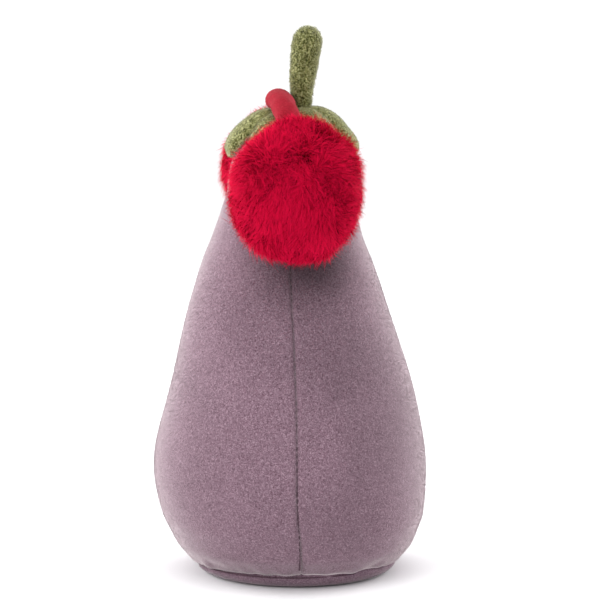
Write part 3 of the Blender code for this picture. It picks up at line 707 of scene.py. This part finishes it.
# ------------------------------------------------------------------ fur balls
def ball_pieces(label, side, centre, radii, seed):
    rng = np.random.default_rng(seed)
    centre, radii = np.array(centre), np.array(radii)
    out = np.array([0.0, side, 0.0])
    # the round of fur that the pile grows from
    rows, cols = 40, 64
    la = np.linspace(0.02, math.pi - 0.02, rows)[:, None]
    lo = np.linspace(0, math.tau, cols, endpoint=False)[None, :]
    q = np.stack([np.sin(la) * np.cos(lo), np.cos(la) + 0 * lo, np.sin(la) * np.sin(lo)], -1)
    lump = Waves(seed + 1, 1.6)
    core = 0.60 + 0.02 * lump(q)
    flat = (centre + radii * q * core[..., None]).reshape(-1, 3)
    faces = [grid_faces(rows, cols, wrap=True)]
    j = np.arange(cols)
    n = len(flat)
    flat = np.concatenate([flat, [centre + radii * [0, 0.6, 0], centre - radii * [0, 0.6, 0]]])
    last = (rows - 1) * cols
    faces += [np.stack([(j + 1) % cols, j, np.full(cols, n)], -1), np.stack([last + j, last + (j + 1) % cols, np.full(cols, n + 1)], -1)]
    N = vertex_normals(flat, faces)
    if (N * (flat - centre)).sum() < 0:
        faces = [f[:, ::-1] for f in faces]
    uv = np.concatenate([np.stack([np.tile(np.linspace(0.01, 0.99, cols), rows), np.repeat(np.linspace(0.02, 0.98, rows), cols)], -1), [[0.5, 0.005], [0.5, 0.995]]])
    cover = mesh_piece(f"pompom_{label}_backing", flat, faces, uv)
    cover.data.materials.append(backing)
    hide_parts(f"pompom_{label}_cover")
    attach(cover, "root")

    total = int(104000 * THIN)
    # even directions over the ball
    i = np.arange(total) + 0.5
    zz = 1 - 2 * i / total
    ph = i * math.pi * (1 + 5**0.5)
    Q = np.stack([np.sqrt(1 - zz**2) * np.cos(ph), zz, np.sqrt(1 - zz**2) * np.sin(ph)], -1)
    Q = unit(Q + rng.normal(size=Q.shape) * 0.02)
    pole = unit(np.array([-0.05, side * 1.0, 0.10]))
    facing = (Q * pole).sum(-1, keepdims=True)
    away = unit(Q * facing - pole)  # along the ball, away from the whorl
    lay = 0.10 * np.clip(1 - facing**2, 0, 1) * smooth_step((facing + 0.35) / 0.75)
    w1 = Waves(seed + 2, 1.1)
    field = np.stack([Waves(seed + 10 + k, 0.95)(Q) for k in range(3)], -1) * 0.09 + np.stack([Waves(seed + 20 + k, 0.30)(Q) for k in range(3)], -1) * 0.10
    drop = np.array([0, 0, -1.0])
    drop = drop - Q * (Q * drop).sum(-1, keepdims=True)
    comb = away * lay + field + drop * 0.15 + rng.normal(size=Q.shape) * 0.10
    comb = comb - Q * (comb * Q).sum(-1, keepdims=True)
    # locks: the tips of neighbouring fibres gather
    K = 4200
    k = np.arange(K) + 0.5
    kz = 1 - 2 * k / K
    kp = k * math.pi * (1 + 5**0.5) + 1.0
    C = unit(np.stack([np.sqrt(1 - kz**2) * np.cos(kp), kz, np.sqrt(1 - kz**2) * np.sin(kp)], -1) + rng.normal(size=(K, 3)) * 0.03)
    near = np.empty(total, int)
    for s0 in range(0, total, 6000):
        near[s0 : s0 + 6000] = np.argmax((Q[s0 : s0 + 6000] @ C.T).astype(np.float32), axis=1)
    gather = rng.uniform(0.10, 0.42, K)[near][:, None]
    sway = (rng.normal(size=(K, 3)) * 0.075)[near]
    long_ = (1 + rng.normal(size=K) * 0.032)[near] * (1 + rng.normal(size=total) * 0.03)
    tip_q = unit(Q + comb + sway + (C[near] - Q) * gather)
    steps = 3
    reach = (0.985 + 0.022 * w1(Q)) * long_
    # a few long fibres stand proud of the rest
    proud = rng.random(total) < 0.04
    reach = np.where(proud, reach * rng.uniform(1.0, 1.07, total), reach)
    # the band flattens the fur on top; it stands out a little beside the leaves
    reach = reach * (1 - 0.075 * smooth_step((Q[:, 2] - 0.30) / 0.6)) * (1 + (0.05 if side < 0 else 0.0) * smooth_step((-Q[:, 0] - 0.45) / 0.4))
    reach = np.where(rng.random(total) < 0.25, reach * rng.uniform(0.86, 0.98, total), reach)
    start = 0.68
    P = []
    for s1 in range(steps + 1):
        t = s1 / steps
        q1 = unit(Q * (1 - t**1.35) + tip_q * t**1.35)
        rho = start + (reach - start) * (1 - (1 - t) ** 1.25)
        P.append(centre + radii * q1 * rho[:, None])
    P = np.stack(P, 1)
    D = unit(np.gradient(P, axis=1))
    radial = unit((P - centre) / radii**2)
    aside = unit(np.cross(D, radial + rng.normal(size=(total, 1, 3)) * 0.55))
    width = (0.155 * rng.uniform(0.75, 1.25, total))[:, None, None] * np.array([0.9, 1.0, 0.78, 0.0])[None, :, None]
    A = P - aside * width / 2
    B = P + aside * width / 2
    flatn = unit(np.cross(aside, D))
    flatn = flatn * np.sign((flatn * radial).sum(-1, keepdims=True) + 1e-9)
    Nn = unit(flatn * 0.4 + radial * 0.75 + rng.normal(size=(total, 1, 3)) * 0.13)
    V = np.concatenate([np.stack([A[:, s], B[:, s]], 1) for s in range(steps)] + [P[:, steps][:, None, :]], 1)
    NV = np.concatenate([np.stack([Nn[:, s], Nn[:, s]], 1) for s in range(steps)] + [Nn[:, steps][:, None, :]], 1)
    per = 2 * steps + 1
    hue = rng.random(K)[near] * 0.55 + rng.random(total) * 0.43 + 0.005
    u = np.stack([hue - 0.003, hue + 0.003], -1)
    UV = np.concatenate([np.stack([np.stack([u[:, k], np.full(total, 0.02 + 0.95 * s / steps)], -1) for k in range(2)], 1) for s in range(steps)] + [np.stack([hue, np.full(total, 0.98)], -1)[:, None, :]], 1)
    quad = np.array([[2 * s, 2 * s + 1, 2 * s + 3, 2 * s + 2] for s in range(steps - 1)])
    tri = np.array([[2 * steps - 2, 2 * steps - 1, 2 * steps]])
    parts = 3
    order = np.argsort(Q[:, 2] + 0.0, kind="stable")
    for part, chosen in enumerate(np.array_split(order, parts)):
        base_i = (np.arange(len(chosen)) * per)[:, None, None]
        F4 = (quad[None] + base_i).reshape(-1, 4)
        F3 = (tri[None] + base_i).reshape(-1, 3)
        ob = mesh_piece(f"pompom_{label}_fur_{part + 1}", V[chosen].reshape(-1, 3), [F4, F3], UV[chosen].reshape(-1, 2), NV[chosen].reshape(-1, 3))
        ob.data.materials.append(fur)
        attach(ob, "root")


ball_pieces("left", -1, (0.2, -39.3, 122.9), (19.9, 17.4, 22.4), 100)
ball_pieces("right", 1, (-0.9, 39.3, 123.3), (19.9, 17.4, 22.4), 200)


# ------------------------------------------------------------------ CAD pieces that stay
for name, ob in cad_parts.items():
    m = None
    if "thread" in name:
        m = thread
    elif name.startswith("pellet_pouch"):
        m = cloth
    elif name == "pellet_fill":
        m = pellet
    elif name.endswith("filling"):
        m = fibre
    if m:
        ob.data.materials.clear()
        ob.data.materials.append(m)

# ------------------------------------------------------------------ floor, light, camera
bpy.ops.mesh.primitive_plane_add(size=8.0, location=(0, 0, -0.0002))
floor = bpy.context.object
floor.name = "floor"
fm, fnt, fb = new_material("floor_white")
fb.inputs["Base Color"].default_value = (0.86, 0.86, 0.87, 1)
fb.inputs["Roughness"].default_value = 0.9
fb.inputs["Specular IOR Level"].default_value = 0.1
floor.data.materials.append(fm)

world = bpy.data.worlds.new("studio")
bpy.context.scene.world = world
world.use_nodes = True
wnt = world.node_tree
wnt.nodes["Background"].inputs[0].default_value = (1, 1, 1, 1)
path = wnt.nodes.new("ShaderNodeLightPath")
bright = wnt.nodes.new("ShaderNodeMapRange")
bright.inputs["To Min"].default_value = 0.75
bright.inputs["To Max"].default_value = 1.1
wnt.links.new(path.outputs["Is Camera Ray"], bright.inputs["Value"])
wnt.links.new(bright.outputs["Result"], wnt.nodes["Background"].inputs[1])


def lamp(name, place, aim, size, power, colour=(1, 1, 1)):
    data = bpy.data.lights.new(name, "AREA")
    data.shape = "DISK"
    data.size = size
    data.energy = power
    data.color = colour
    ob = bpy.data.objects.new(name, data)
    bpy.context.scene.collection.objects.link(ob)
    ob.location = place
    ob.rotation_euler = (Vector(aim) - Vector(place)).to_track_quat("-Z", "Y").to_euler()
    return ob


lamp("key", (-0.70, -0.65, 0.55), (0, 0, 0.08), 0.7, 4.3)
lamp("back_left", (-0.75, 0.45, 0.30), (0, 0, 0.09), 0.6, 7.0)
lamp("back_right", (0.75, 0.45, 0.30), (0, 0, 0.09), 0.6, 7.0)
sun_data = bpy.data.lights.new("sky_light", "SUN")
sun_data.energy = 1.5
sun_data.angle = math.radians(70)
sun = bpy.data.objects.new("sky_light", sun_data)
bpy.context.scene.collection.objects.link(sun)
sun.rotation_euler = (math.radians(8), 0, 0)

AZ, EL, DIST = math.radians(-3.0), math.radians(6.7), 0.8
back = Vector((math.sin(AZ) * math.cos(EL), -math.cos(AZ) * math.cos(EL), math.sin(EL)))
right = Vector((math.cos(AZ), math.sin(AZ), 0))
target = Vector((0, 0, 0.085)) + right * 0.00297
cam_data = bpy.data.cameras.new("camera")
cam_data.sensor_width = 36.0
cam_data.lens = 36.0 * DIST / (600 / 3203)
cam_data.clip_start = 0.01
cam_data.clip_end = 50
cam = bpy.data.objects.new("camera", cam_data)
bpy.context.scene.collection.objects.link(cam)
cam.location = target + back * DIST
cam.rotation_euler = (-back).to_track_quat("-Z", "Y").to_euler()
bpy.context.scene.camera = cam
bpy.context.scene.view_settings.view_transform = "Standard"
bpy.context.scene.view_settings.look = "None"
